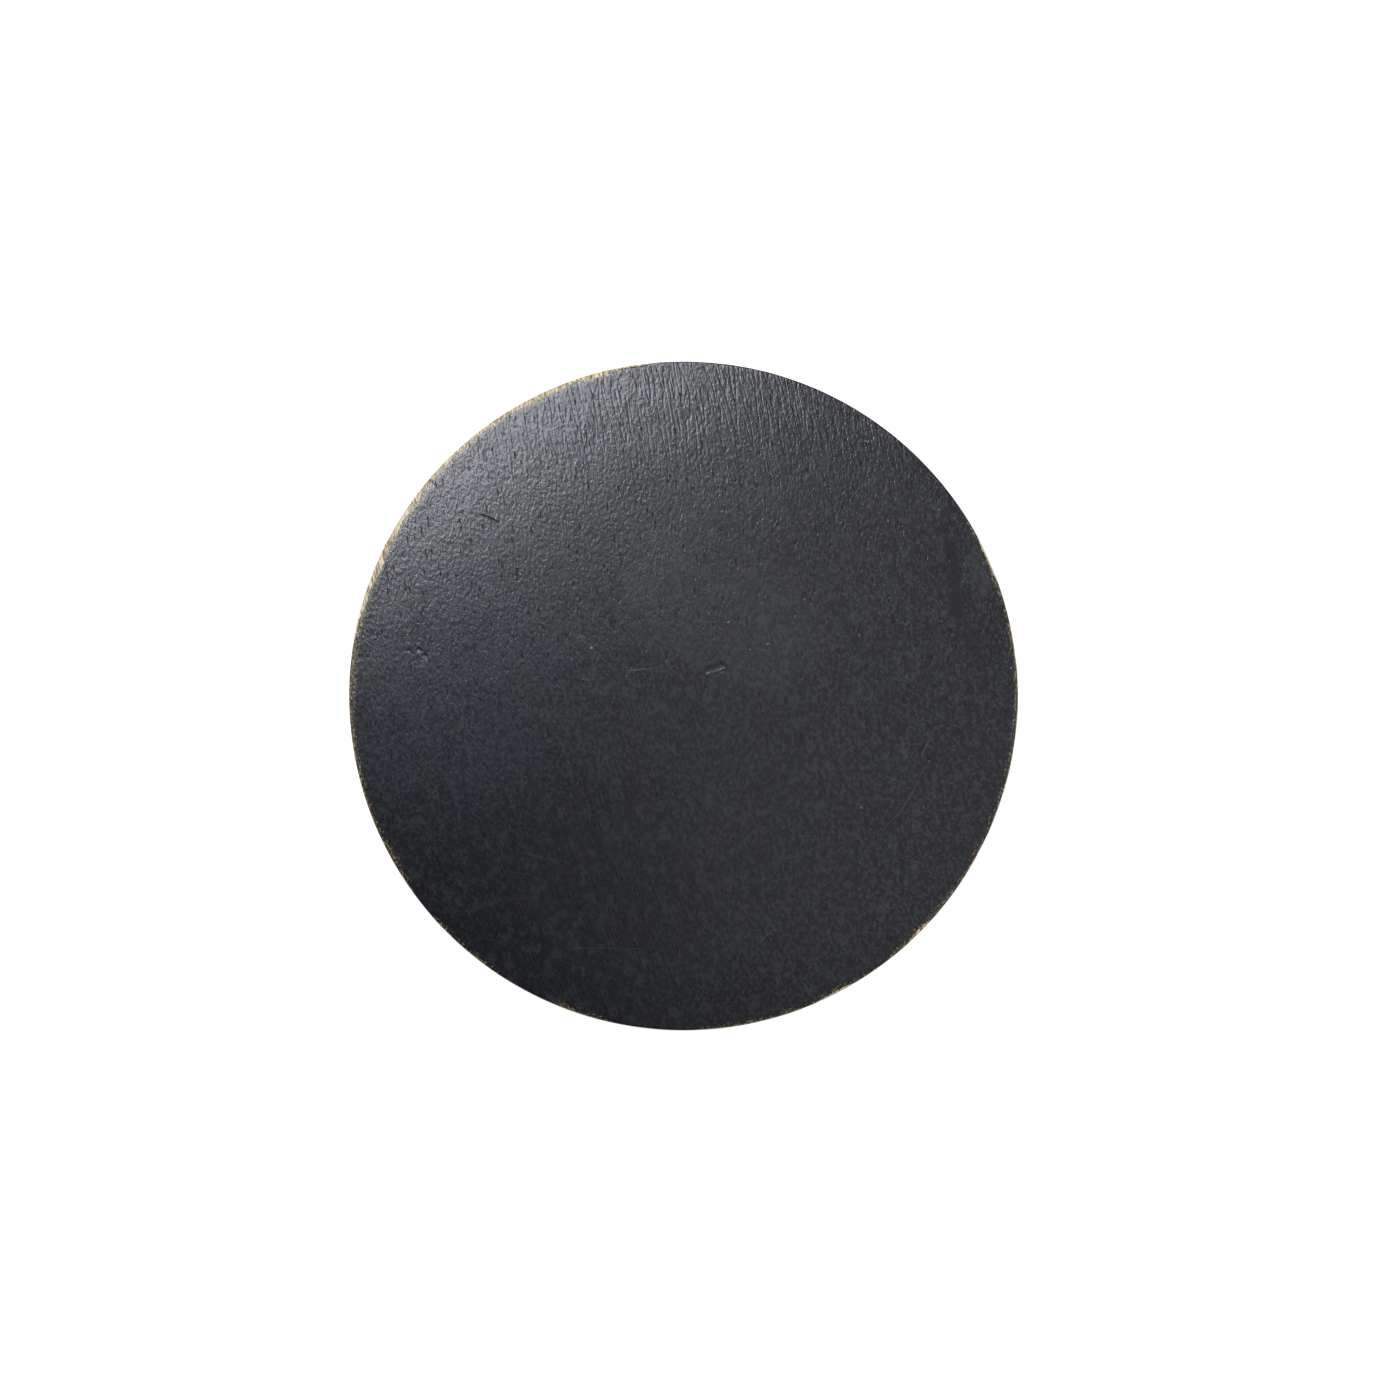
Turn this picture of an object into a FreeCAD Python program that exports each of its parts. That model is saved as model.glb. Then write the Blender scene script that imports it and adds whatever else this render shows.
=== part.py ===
"""Dealer button: a weighted, felted, turned wooden disc with a shallow dome on top.

Millimetres. +Z is up, towards the domed face. The origin is the centre of the felt's underside,
on the surface that the button rests on. +Y follows the grain of the wood.

Every size is a cell of the sheet, and every sub-part reads its sizes from there. Each sub-part
is drawn from its own lower face upwards, and its Placement stands that face at its level.
"""

import FreeCAD, Part
import os
import Sketcher

# alias, value, what it is: the driving sizes
SIZES = [
    ("button_diameter", 76.0, "across the wooden disc"),
    ("side_height", 9.2, "wooden disc, underside to the corner of the dome"),
    ("dome_rise", 2.65, "corner of the dome to its middle"),
    ("top_round", 0.3, "round along the upper corner"),
    ("bottom_round", 1.0, "round along the lower corner"),
    ("rim_width", 5.0, "wood between the side and the felt's seat"),
    ("felt_thickness", 1.5, "felt disc"),
    ("felt_round", 0.35, "softened lower edge of the felt"),
    ("seat_depth", 0.5, "shallow seat that the felt sits in"),
    ("seat_clearance", 0.3, "around the felt, in its seat"),
    ("film_thickness", 0.15, "adhesive between felt and seat"),
    ("film_margin", 0.6, "adhesive stops this far inside the felt's edge"),
    ("land_width", 5.0, "wood left around the plate for the adhesive"),
    ("plate_thickness", 3.0, "steel plate"),
    ("plate_chamfer", 0.3, "both outer corners of the plate"),
    ("plate_clearance", 0.25, "around the plate, in its recess"),
    ("plate_cover", 0.2, "plate lies this far above the seat's surface"),
    ("screw_count", 3.0, "screws that hold the plate"),
    ("screw_inset", 10.0, "screw axis to the plate's edge"),
    ("screw_length", 8.0, "head and point included"),
    ("thread_diameter", 2.5, "outside of the thread"),
    ("head_diameter", 4.8, "countersunk head, at its flat face"),
    ("head_edge", 0.2, "straight edge of the head"),
    ("head_angle", 90.0, "between the sides of the head's cone, in degrees"),
    ("head_sink", 0.1, "head lies this far inside the plate's face"),
    ("point_length", 1.8, "tapered end of the screw"),
    ("slot_width", 0.7, "screwdriver slot"),
    ("slot_depth", 0.8, "screwdriver slot"),
    ("slot_overrun", 0.5, "slot's outline past each side of the head"),
    ("hole_clearance", 0.2, "around a screw, in the plate"),
    ("pilot_clearance", 0.02, "around a screw's thread, in the wood"),
    ("pilot_spare", 0.4, "pilot hole past the screw's point"),
]

# alias, formula, what it is: sizes and levels that follow from the driving ones
DERIVED = [
    ("button_radius", "button_diameter / 2", "wooden disc"),
    ("seat_radius", "button_radius - rim_width", "seat of the felt"),
    ("felt_radius", "seat_radius - seat_clearance", "felt disc"),
    ("film_radius", "felt_radius - film_margin", "adhesive"),
    ("recess_radius", "seat_radius - land_width", "recess of the plate"),
    ("plate_radius", "recess_radius - plate_clearance", "steel plate"),
    ("recess_depth", "seat_depth + plate_cover + plate_thickness", "from the wood's underside"),
    ("wood_level", "felt_thickness + film_thickness - seat_depth", "the wood's underside"),
    ("plate_level", "wood_level + seat_depth + plate_cover", "the plate's lower face"),
    ("screw_level", "plate_level + head_sink", "the flat faces of the screw heads"),
    ("screw_circle", "plate_radius - screw_inset", "radius that the screws stand on"),
    ("screw_end", "screw_level + screw_length", "level of the screws' points"),
    ("pilot_depth", "screw_end + pilot_spare - wood_level", "from the wood's underside"),
    ("head_start", "head_sink + head_edge", "the head's cone starts this far inside the plate"),
    ("sink_run", "head_start * tan(head_angle * 0.5 deg)", "the cone run on to the plate's face"),
    ("sink_diameter", "head_diameter + 2 * sink_run", "mouth of a countersink"),
    ("cone_run", "(head_diameter - thread_diameter) / 2", "width of the head's cone"),
    ("cone_height", "cone_run / tan(head_angle * 0.5 deg)", "height of the head's cone"),
]

FULL_TURN = 360

# how a sketch constraint names a point of a line or arc, the sketch's origin and its vertical axis
START, END, CENTRE = 1, 2, 3
ORIGIN = (-1, 1)
HORIZONTAL_AXIS, VERTICAL_AXIS = -1, -2


def make_sheet(doc):
    """The sheet of sizes: alias, value and note in columns A to C."""
    sheet = doc.addObject("Spreadsheet::Sheet", "Sizes")
    cells = [(alias, str(value), note) for alias, value, note in SIZES]
    cells += [(alias, f"={formula}", note) for alias, formula, note in DERIVED]
    for row, (alias, content, note) in enumerate(cells, start=1):
        sheet.set(f"A{row}", alias)
        sheet.set(f"B{row}", content)
        sheet.set(f"C{row}", note)
        sheet.setAlias(f"B{row}", alias)
    doc.recompute()


def make_body(doc, name, level=None):
    """An empty body whose lower face stands at the named level, or at the origin."""
    body = doc.addObject("PartDesign::Body", name)
    body.Label = name
    if level:
        body.setExpression("Placement.Base.z", f"Sizes.{level}")
    return body


def make_sketch(body, name, role):
    """An empty sketch on one of the body's own origin planes."""
    plane = next(item for item in body.Origin.OriginFeatures if item.Role == role)
    sketch = body.newObject("Sketcher::SketchObject", name)
    sketch.AttachmentSupport = (plane, "")
    sketch.MapMode = "FlatFace"
    return sketch


def constrain(sketch, *constraints):
    """Adds constraints that carry no size."""
    for constraint in constraints:
        sketch.addConstraint(Sketcher.Constraint(*constraint))


def bind(sketch, kind, where, name, formula):
    """Adds a named dimension to a sketch and ties it to the sheet."""
    until_bound = 1.0
    sketch.addConstraint(Sketcher.Constraint(kind, *where, until_bound))
    sketch.renameConstraint(sketch.ConstraintCount - 1, name)
    sketch.setExpression(f"Constraints.{name}", formula)


def draw_loop(sketch, rough_corners):
    """A closed loop of lines near its final place, joined end to end."""
    corners = [FreeCAD.Vector(across, up, 0) for across, up in rough_corners]
    for first, second in zip(corners, corners[1:] + corners[:1]):
        sketch.addGeometry(Part.LineSegment(first, second))
    for line in range(len(corners)):
        following = (line + 1) % len(corners)
        constrain(sketch, ("Coincident", line, END, following, START))


def draw_circle(body, name, radius, offset=None):
    """A sketch of one circle on the body's XY plane, at its middle or out along X."""
    sketch = make_sketch(body, name, "XY_Plane")
    middle, normal = FreeCAD.Vector(0, 0, 0), FreeCAD.Vector(0, 0, 1)
    until_bound = 1.0
    sketch.addGeometry(Part.Circle(middle, normal, until_bound))
    bind(sketch, "Radius", (0,), "radius", radius)
    if offset:
        constrain(sketch, ("PointOnObject", 0, CENTRE, HORIZONTAL_AXIS))
        bind(sketch, "DistanceX", (*ORIGIN, 0, CENTRE), "offset", offset)
    else:
        constrain(sketch, ("Coincident", 0, CENTRE, *ORIGIN))
    return sketch


def pad(body, sketch, name, height):
    """Raises a sketch along +Z."""
    feature = body.newObject("PartDesign::Pad", name)
    feature.Profile = sketch
    feature.setExpression("Length", height)


def pocket(body, sketch, name, depth):
    """Cuts a sketch on the lower face upwards, along +Z."""
    feature = body.newObject("PartDesign::Pocket", name)
    feature.Profile = sketch
    feature.Reversed = True
    feature.setExpression("Length", depth)
    return feature


def revolve(body, sketch, name):
    """Turns a sketch on the XZ plane about Z."""
    feature = body.newObject("PartDesign::Revolution", name)
    feature.Profile = sketch
    feature.ReferenceAxis = (sketch, ["V_Axis"])
    feature.Angle = FULL_TURN


def repeat_for_screws(body, feature, name):
    """Repeats a feature about Z, once for each screw."""
    pattern = body.newObject("PartDesign::PolarPattern", name)
    pattern.Originals = [feature]
    pattern.Axis = (feature.Profile[0], ["N_Axis"])
    pattern.Angle = FULL_TURN
    pattern.setExpression("Occurrences", "Sizes.screw_count")
    body.Tip = pattern


def outer_edge(shape, height):
    """The name of the longest level edge at one height of a solid."""
    tolerance = 1e-4
    level = [
        (edge.Length, f"Edge{index}")
        for index, edge in enumerate(shape.Edges, start=1)
        if abs(edge.BoundBox.ZMin - height) < tolerance
        and abs(edge.BoundBox.ZMax - height) < tolerance
    ]
    return max(level)[1]


def dress_edge(doc, body, kind, name, height, size):
    """Fillets or chamfers the outer edge at one height above the body's lower face."""
    doc.recompute()
    base = body.Tip
    feature = body.newObject(f"PartDesign::{kind}", name)
    feature.Base = (base, [outer_edge(base.Shape, height)])
    feature.setExpression({"Fillet": "Radius", "Chamfer": "Size"}[kind], size)


def draw_disc_profile(sketch):
    """Half of the turned disc: underside, side, dome and axis."""
    rough = ((0, 0), (38, 0), (38, 9), (20, 11), (0, 12))
    middle, foot, corner, shoulder, crown = [FreeCAD.Vector(x, y, 0) for x, y in rough]
    sketch.addGeometry(Part.LineSegment(middle, foot))
    sketch.addGeometry(Part.LineSegment(foot, corner))
    sketch.addGeometry(Part.Arc(corner, shoulder, crown))
    sketch.addGeometry(Part.LineSegment(crown, middle))
    underside, side, dome, axis = range(4)
    constrain(
        sketch,
        ("Coincident", underside, START, *ORIGIN),
        ("Coincident", underside, END, side, START),
        ("Coincident", side, END, dome, START),
        ("Coincident", dome, END, axis, START),
        ("Coincident", axis, END, underside, START),
        ("Horizontal", underside),
        ("Vertical", side),
        ("Vertical", axis),
        ("PointOnObject", dome, CENTRE, VERTICAL_AXIS),
    )
    radius, height, rise = "Sizes.button_radius", "Sizes.side_height", "Sizes.dome_rise"
    bind(sketch, "DistanceX", (underside, START, underside, END), "radius", radius)
    bind(sketch, "DistanceY", (side, START, side, END), "side_height", height)
    bind(sketch, "DistanceY", (dome, START, dome, END), "dome_rise", rise)


def make_wooden_body(doc):
    """The turned disc, with the felt's seat, the plate's recess and the screws' pilot holes."""
    body = make_body(doc, "wooden_body", "wood_level")
    half = make_sketch(body, "DiscProfile", "XZ_Plane")
    draw_disc_profile(half)
    revolve(body, half, "TurnedDisc")
    corner = doc.Sizes.side_height
    dress_edge(doc, body, "Fillet", "TopRound", corner, "Sizes.top_round")
    dress_edge(doc, body, "Fillet", "BottomRound", 0, "Sizes.bottom_round")
    seat = draw_circle(body, "SeatCircle", "Sizes.seat_radius")
    pocket(body, seat, "FeltSeat", "Sizes.seat_depth")
    recess = draw_circle(body, "RecessCircle", "Sizes.recess_radius")
    pocket(body, recess, "PlateRecess", "Sizes.recess_depth")
    pilot_radius = "Sizes.thread_diameter / 2 + Sizes.pilot_clearance"
    pilot = draw_circle(body, "PilotCircle", pilot_radius, "Sizes.screw_circle")
    hole = pocket(body, pilot, "PilotHole", "Sizes.pilot_depth")
    repeat_for_screws(body, hole, "PilotHoles")
    return body


def make_ballast_plate(doc):
    """The steel disc, with a countersunk hole for each screw in its lower face."""
    body = make_body(doc, "ballast_plate", "plate_level")
    outline = draw_circle(body, "PlateCircle", "Sizes.plate_radius")
    pad(body, outline, "PlateDisc", "Sizes.plate_thickness")
    top = doc.Sizes.plate_thickness
    dress_edge(doc, body, "Chamfer", "LowerChamfer", 0, "Sizes.plate_chamfer")
    dress_edge(doc, body, "Chamfer", "UpperChamfer", top, "Sizes.plate_chamfer")
    circle = draw_circle(
        body, "ScrewHoleCircle", "Sizes.thread_diameter / 2", "Sizes.screw_circle"
    )
    doc.recompute()
    hole = body.newObject("PartDesign::Hole", "ScrewHole")
    hole.Profile = circle
    hole.Reversed = True
    hole.DepthType = "ThroughAll"
    hole.ThreadType = "None"
    hole.HoleCutType = "Countersink"
    hole.HoleCutCustomValues = True
    hole.setExpression("Diameter", "Sizes.thread_diameter + 2 * Sizes.hole_clearance")
    hole.setExpression("HoleCutDiameter", "Sizes.sink_diameter")
    hole.setExpression("HoleCutCountersinkAngle", "Sizes.head_angle")
    repeat_for_screws(body, hole, "ScrewHoles")
    return body


def draw_screw_profile(sketch):
    """Half of the screw, head down: face, edge, cone, shank, point and axis."""
    rough = ((0, 0), (2.4, 0), (2.4, 0.2), (1.2, 1.4), (1.2, 6), (0, 8))
    draw_loop(sketch, rough)
    face, edge, cone, shank, point, axis = range(len(rough))
    constrain(
        sketch,
        ("Coincident", face, START, *ORIGIN),
        ("Horizontal", face),
        ("Vertical", edge),
        ("Vertical", shank),
        ("Vertical", axis),
    )
    head, thread = "Sizes.head_diameter / 2", "Sizes.thread_diameter / 2"
    bind(sketch, "DistanceX", (*ORIGIN, face, END), "head_radius", head)
    bind(sketch, "DistanceX", (*ORIGIN, cone, END), "thread_radius", thread)
    for name, span in (
        ("head_edge", (edge, START, edge, END)),
        ("cone_height", (cone, START, cone, END)),
        ("screw_length", (*ORIGIN, point, END)),
        ("point_length", (point, START, point, END)),
    ):
        bind(sketch, "DistanceY", span, name, f"Sizes.{name}")


def draw_slot(sketch):
    """A rectangle about the middle, right across the head along X."""
    draw_loop(sketch, ((-3, -1), (3, -1), (3, 1), (-3, 1)))
    bottom, right, top, left = range(4)
    constrain(
        sketch,
        ("Horizontal", bottom),
        ("Vertical", right),
        ("Horizontal", top),
        ("Vertical", left),
        ("Symmetric", bottom, START, top, START, *ORIGIN),
    )
    reach = "Sizes.head_diameter + 2 * Sizes.slot_overrun"
    bind(sketch, "DistanceX", (bottom, START, bottom, END), "reach", reach)
    bind(sketch, "DistanceY", (right, START, right, END), "width", "Sizes.slot_width")


def make_screw(doc, name, angle):
    """A slotted countersunk wood screw, head down. Its thread is a plain cylinder."""
    body = make_body(doc, name, "screw_level")
    body.setExpression("Placement.Base.x", f"Sizes.screw_circle * cos({angle} deg)")
    body.setExpression("Placement.Base.y", f"Sizes.screw_circle * sin({angle} deg)")
    half = make_sketch(body, "ScrewProfile", "XZ_Plane")
    draw_screw_profile(half)
    revolve(body, half, "TurnedScrew")
    slot = make_sketch(body, "SlotOutline", "XY_Plane")
    draw_slot(slot)
    pocket(body, slot, "Slot", "Sizes.slot_depth")
    return body


def make_screws(doc):
    """The screws, evenly spaced around the plate from +X."""
    count = int(doc.Sizes.screw_count)
    return [
        make_screw(doc, f"ballast_screw_{index + 1}", index * FULL_TURN / count)
        for index in range(count)
    ]


def make_adhesive_film(doc):
    """The film between the felt and its seat. It spans the recess."""
    body = make_body(doc, "adhesive_film", "felt_thickness")
    outline = draw_circle(body, "FilmCircle", "Sizes.film_radius")
    pad(body, outline, "Film", "Sizes.film_thickness")
    return body


def make_felt_base(doc):
    """The felt disc. Its lower face is what the button rests on."""
    body = make_body(doc, "felt_base")
    outline = draw_circle(body, "FeltCircle", "Sizes.felt_radius")
    pad(body, outline, "Felt", "Sizes.felt_thickness")
    dress_edge(doc, body, "Fillet", "LowerRound", 0, "Sizes.felt_round")
    return body


def check_document(doc):
    """Stops if any object of the document failed to build."""
    failed = [item.Name for item in doc.Objects if {"Invalid", "Error"} & set(item.State)]
    if failed:
        raise RuntimeError(f"failed to build: {', '.join(failed)}")


def check_sub_part(body):
    """Stops unless the sub-part is one valid solid and each of its cuts took material away."""
    shape = body.Shape
    if shape.isNull() or not shape.isValid() or len(shape.Solids) != 1:
        raise RuntimeError(f"{body.Label} isn't one valid solid")
    cuts = ("PartDesign::Pocket", "PartDesign::Hole", "PartDesign::PolarPattern")
    for feature in body.Group:
        if feature.TypeId in cuts:
            if feature.Shape.Volume >= feature.BaseFeature.Shape.Volume:
                raise RuntimeError(f"{feature.Name} of {body.Label} cuts nothing")


def main():
    doc = FreeCAD.newDocument("DealerButton")
    make_sheet(doc)
    sub_parts = [
        make_wooden_body(doc),
        make_ballast_plate(doc),
        *make_screws(doc),
        make_adhesive_film(doc),
        make_felt_base(doc),
    ]
    doc.recompute()
    check_document(doc)
    for body in sub_parts:
        check_sub_part(body)
    os.makedirs("parts", exist_ok=True)
    for body in sub_parts:
        body.Shape.exportStep(f"parts/{body.Label}.step")
        box = body.Shape.BoundBox
        volume = body.Shape.Volume
        print(f"{body.Label}: {volume:.1f} mm3, z {box.ZMin:.3f} to {box.ZMax:.3f}")


main()
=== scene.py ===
"""Looks of the dealer button: a worn, black painted wooden disc with a felt base.

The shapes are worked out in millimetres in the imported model's frame (+Z up, +Y along the grain)
and turned into metres when their meshes are made.
"""

import itertools
import math

import bmesh
import bpy
import numpy as np
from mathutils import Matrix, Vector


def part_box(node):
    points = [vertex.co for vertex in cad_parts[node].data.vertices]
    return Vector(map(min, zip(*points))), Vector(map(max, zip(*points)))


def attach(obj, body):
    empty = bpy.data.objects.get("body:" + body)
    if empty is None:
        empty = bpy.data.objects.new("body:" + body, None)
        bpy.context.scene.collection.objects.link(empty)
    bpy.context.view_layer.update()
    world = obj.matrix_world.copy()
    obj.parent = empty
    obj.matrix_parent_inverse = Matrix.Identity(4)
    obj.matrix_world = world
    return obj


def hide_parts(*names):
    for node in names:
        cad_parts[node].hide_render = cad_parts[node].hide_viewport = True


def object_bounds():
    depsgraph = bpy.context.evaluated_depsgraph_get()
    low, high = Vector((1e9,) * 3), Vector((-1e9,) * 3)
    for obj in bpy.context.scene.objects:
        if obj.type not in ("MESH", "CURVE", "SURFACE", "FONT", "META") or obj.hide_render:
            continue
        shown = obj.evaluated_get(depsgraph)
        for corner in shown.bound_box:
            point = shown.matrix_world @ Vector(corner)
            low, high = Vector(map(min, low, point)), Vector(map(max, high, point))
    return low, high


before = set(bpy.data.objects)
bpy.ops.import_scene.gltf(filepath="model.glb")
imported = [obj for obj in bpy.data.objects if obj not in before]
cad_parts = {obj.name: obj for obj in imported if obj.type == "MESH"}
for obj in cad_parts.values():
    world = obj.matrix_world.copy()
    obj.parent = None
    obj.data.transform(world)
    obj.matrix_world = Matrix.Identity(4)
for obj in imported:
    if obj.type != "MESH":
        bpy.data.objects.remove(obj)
cad_low, cad_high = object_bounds()

MM = 0.001

# ---------------------------------------------------------------- sizes, in millimetres

wood_low, wood_high = (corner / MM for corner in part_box("wooden_body"))
RADIUS = wood_high.x
UNDERSIDE = wood_low.z
CROWN = wood_high.z
DOME_RISE = 2.65
TOP_ROUND = 0.3
BOTTOM_ROUND = 1.0

felt_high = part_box("felt_base")[1] / MM
FELT_RADIUS = felt_high.x
FELT_TOP = felt_high.z
FELT_ROUND = 0.35
SEAT_RADIUS = 33.0  # of the shallow seat that the felt lies in

DOME_RADIUS = (RADIUS**2 + DOME_RISE**2) / (2 * DOME_RISE)
DOME_CENTRE = CROWN - DOME_RADIUS
# the upper round touches the dome at this angle from +Z
ROUND_START = math.asin((RADIUS - TOP_ROUND) / (DOME_RADIUS - TOP_ROUND))
ROUND_LEVEL = DOME_CENTRE + (DOME_RADIUS - TOP_ROUND) * math.cos(ROUND_START)
FACE_RADIUS = DOME_RADIUS * math.sin(ROUND_START)

GRID = 228  # cells across the face
AROUND = 4 * GRID  # points around the rim
FELT_GRID = 132  # cells across the felt
GRAIN_LEAN = math.radians(11)  # the grain's upper ends lean towards -X
PAINT = 0.05  # thickness of the paint
SKIN = 0.06  # the surface's waves play about this depth inside the CAD outline
CLOSEST = 0.003  # and never come nearer to the outline than this

# ---------------------------------------------------------------- wear and marks

# azimuth from +X and spread in degrees, then how far the bare wood reaches in from the outline
BARE = [
    (167, 4, 0.30),
    (161, 5, 0.52),
    (155, 6, 0.88),
    (146, 6, 0.60),
    (135, 9, 0.52),
    (124, 6, 0.56),
    (115, 6, 0.68),
    (106, 5, 0.50),
    (99, 4, 0.26),
    (315, 2.2, 0.45),
    (297, 3.5, 0.30),
    (24, 3.5, 0.27),
    (9, 3, 0.23),
    (342, 5, 0.16),
    (331, 4, 0.18),
]

# the same for paint that is only rubbed thin, with the wood showing in flecks
RUBBED = [
    (150, 30, 0.95),
    (112, 14, 0.75),
    (177, 8, 0.36),
    (192, 14, 0.52),
    (207, 7, 0.58),
    (229, 7, 0.40),
    (252, 5, 0.45),
    (283, 10, 0.36),
    (297, 6, 0.50),
    (317, 8, 0.62),
    (335, 9, 0.48),
    (351, 10, 0.48),
    (8, 8, 0.55),
    (24, 7, 0.45),
]

# dents: start, end, half width and depth, from the middle of the face
DENTS = [
    ((2.6, 2.85), (4.4, 3.40), 0.42, 0.042),
    ((3.7, 2.40), (4.5, 2.85), 0.20, 0.020),
    ((3.70, 1.00), (3.75, 1.05), 0.12, 0.03),
    ((-29.95, 5.25), (-29.8, 5.15), 0.26, 0.08),
    ((-29.3, 4.6), (-29.15, 4.45), 0.27, 0.09),
    ((-31.15, 5.15), (-31.05, 5.1), 0.17, 0.06),
    ((-22.7, 20.4), (-21.0, 19.6), 0.15, 0.09),
    ((-18.8, 14.3), (-18.6, 13.1), 0.14, 0.08),
    ((27.6, -7.3), (27.7, -7.2), 0.25, 0.05),
]

# light scratches and specks, and two faint patches of painted light (on the planed flat at the right and
# over the upper middle of the face): start, end, half width and strength
MARKS_AND_PAINTED_LIGHT = [
    ((-29.6, 4.02), (-29.45, 3.95), 0.11, 0.45),
    ((-29.1, 3.95), (-29.0, 4.1), 0.11, 0.45),
    ((-31.1, 4.9), (-31.03, 4.88), 0.10, 0.40),
    ((-10.42, 5.40), (-10.36, 5.42), 0.17, 1.0),
    ((-6.6, 2.8), (-2.9, 3.2), 0.08, 0.12),
    ((-6.3, 2.83), (-4.3, 3.05), 0.09, 0.24),
    ((-11.4, 1.9), (-10.7, 1.75), 0.08, 0.2),
    ((5.05, 8.3), (5.12, 8.35), 0.12, 0.7),
    ((4.3, 7.5), (4.35, 7.5), 0.09, 0.5),
    ((9.4, 5.8), (9.6, 5.9), 0.11, 0.6),
    ((8.8, 10.4), (8.9, 10.5), 0.10, 0.5),
    ((27.7, -5.1), (26.9, -6.8), 0.09, 0.18),
    ((26.6, -9.6), (24.5, -13.2), 0.08, 0.18),
    ((24.5, -13.2), (23.0, -14.6), 0.07, 0.13),
    ((27.1, -12.5), (27.2, -12.7), 0.09, 0.35),
    # painted light: the planed flat lit a little paler
    ((33.0, 15.2), (34.0, 12.5), 1.4, 0.05),
    # painted light: a broad faint pale patch over the upper middle of the face
    ((-0.5, 12.0), (9.0, 7.0), 9.0, 0.035),
    ((-18.5, -17.7), (-12.9, -18.9), 0.08, 0.06),
    ((-12.3, -28.5), (-4.9, -28.6), 0.08, 0.06),
    ((8.9, -27.7), (9.9, -26.5), 0.07, 0.14),
    ((9.9, -26.5), (10.4, -26.4), 0.07, 0.14),
    ((20.0, -12.6), (20.15, -12.6), 0.09, 0.45),
    ((23.2, -17.1), (23.4, -16.9), 0.08, 0.35),
    ((4.3, 20.8), (4.4, 20.9), 0.13, 0.5),
    ((22.8, 23.2), (22.9, 23.2), 0.10, 0.5),
]

# faint dark strips: painted shade on the nick's upper flank and along the edge of the planed flat, then
# a faint dark line in the paint; start, end, half width and strength
DARK_LINES_AND_PAINTED_SHADE = [
    # painted shade on the upper flank of the nick
    ((2.9, 3.32), (4.5, 3.74), 0.30, 0.95),
    # painted shade along the planed flat's edge, in two runs
    ((30.2, 17.0), (31.0, 9.5), 1.1, 0.8),
    ((31.0, 9.5), (33.6, 3.5), 1.0, 0.6),
    # a faint dark line in the paint
    ((-11.1, -14.1), (-4.9, -24.3), 0.35, 0.4),
    ((-4.9, -24.3), (-1.5, -31.1), 0.35, 0.4),
]

# a planed flat at the right: everything on the far side of this line slopes away a little more
FLAT_START = (28.6, 19.4)
FLAT_END = (34.2, 4.1)
FLAT_SLOPE = 0.024

# the face rolls off a little more towards the rim: from this radius, by this depth at the rim
ROLL_START = 31.5
ROLL_DEPTH = 0.035


# large odd numbers that scatter the bits: one for the seed and one for each axis
SEED_FACTOR = 0x9E3779B97F4A7C15
AXIS_FACTORS = (0xBF58476D1CE4E5B9, 0x94D049BB133111EB, 0xD6E8FEB86659FD93)


def hashed(cells, seed):
    """A number from -1 to 1 for each whole-number cell, always the same one."""
    mixed = np.full(len(cells), (seed * SEED_FACTOR + 1) % 2**64, np.uint64)
    for axis, factor in enumerate(AXIS_FACTORS):
        mixed ^= cells[:, axis].astype(np.uint64) * np.uint64(factor)
        mixed ^= mixed >> np.uint64(29)
        mixed *= np.uint64(AXIS_FACTORS[0])
        mixed ^= mixed >> np.uint64(32)
    return (mixed >> np.uint64(11)).astype(float) / 2**52 - 1


def noise(points, size, seed):
    """Smooth noise from -1 to 1 with lumps about one size apart, or a size for each axis."""
    cells = points / np.asarray(size, float)
    base = np.floor(cells).astype(np.int64)
    part = cells - base
    part = part * part * (3 - 2 * part)
    total = np.zeros(len(points))
    for corner in itertools.product((0, 1), repeat=3):
        weight = np.prod(np.where(corner, part, 1 - part), axis=1)
        total += weight * hashed(base + np.array(corner), seed)
    return total


def smooth_step(low, high, value):
    """0 up to low, 1 from high on, and a soft rise between them."""
    share = np.clip((value - low) / (high - low), 0, 1)
    return share * share * (3 - 2 * share)


def along_grain(points):
    """The points in axes across, along and through the grain."""
    x, y, z = points.T
    across = x * math.cos(GRAIN_LEAN) + y * math.sin(GRAIN_LEAN)
    along = y * math.cos(GRAIN_LEAN) - x * math.sin(GRAIN_LEAN)
    return np.stack([across, along, z], axis=1)


def distance_to(points, start, end):
    """How far each point of the plane is from a short line."""
    start, end = np.array(start), np.array(end)
    run = end - start
    share = np.clip((points - start) @ run / (run @ run), 0, 1)
    return np.linalg.norm(points - start - share[:, None] * run, axis=1)


def reach_at(azimuth, patches):
    """How far the wear reaches in from the outline at each azimuth; negative between the patches."""
    unworn = 0.5
    reach = np.full(len(azimuth), -unworn)
    for middle, spread, width in patches:
        off = (azimuth - middle + 180) % 360 - 180
        swell = np.exp(-((off / spread) ** 4) / 4)
        reach = np.maximum(reach, (width + unworn) * swell - unworn)
    return reach


def face_height(radius):
    """Level of the dome at a distance from the axis."""
    return DOME_CENTRE + np.sqrt(DOME_RADIUS**2 - radius**2)


# ---------------------------------------------------------------- the wooden disc's mesh

WEAR_LAYERS = ("bare", "rubbed")


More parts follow.
